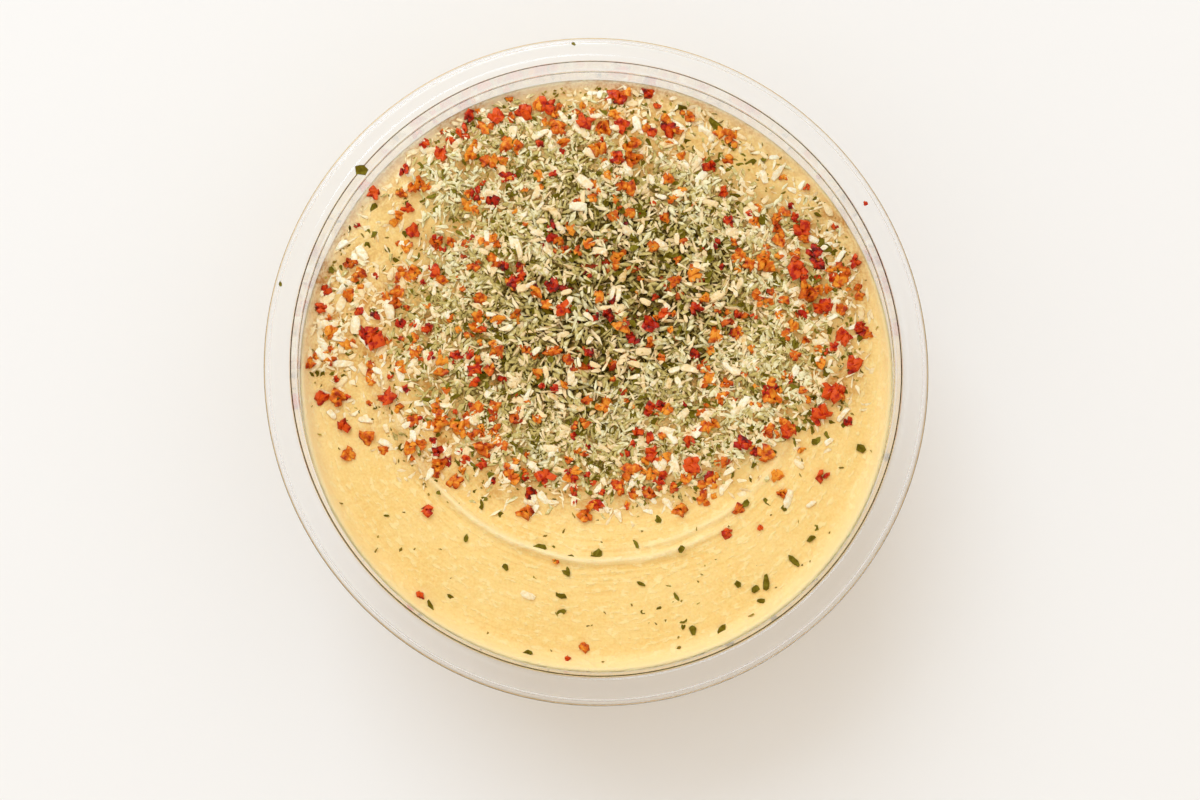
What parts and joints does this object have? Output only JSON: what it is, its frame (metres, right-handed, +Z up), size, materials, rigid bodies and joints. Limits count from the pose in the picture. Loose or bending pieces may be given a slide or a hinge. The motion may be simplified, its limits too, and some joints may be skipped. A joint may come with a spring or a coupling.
{
  "type": "hummus in a tub",
  "caption": "Round clear open tub of thick pale yellow hummus with a spoon-swirled top and a scattered bed of dried onion, pepper and herb flakes.",
  "frame": {"origin": "centre of the tub's bounding box at its bottom, on the surface that the tub stands on", "axes": "+Z up out of the tub's open mouth, along its axis; -Y is the side where the hummus shows bare and its ridge is plainest; +X is to the right of that"},
  "size_m": [0.1164, 0.1176, 0.046],
  "materials": {
    "clear_plastic": "clear, thin and glossy",
    "hummus_paste": "moist coarse-grained paste",
    "dried_topping": "dry mixed flakes"
  },
  "bodies": {
    "root": {"tub": "clear_plastic", "hummus": "hummus_paste", "topping_bed": "dried_topping"}
  },
  "joints": []
}
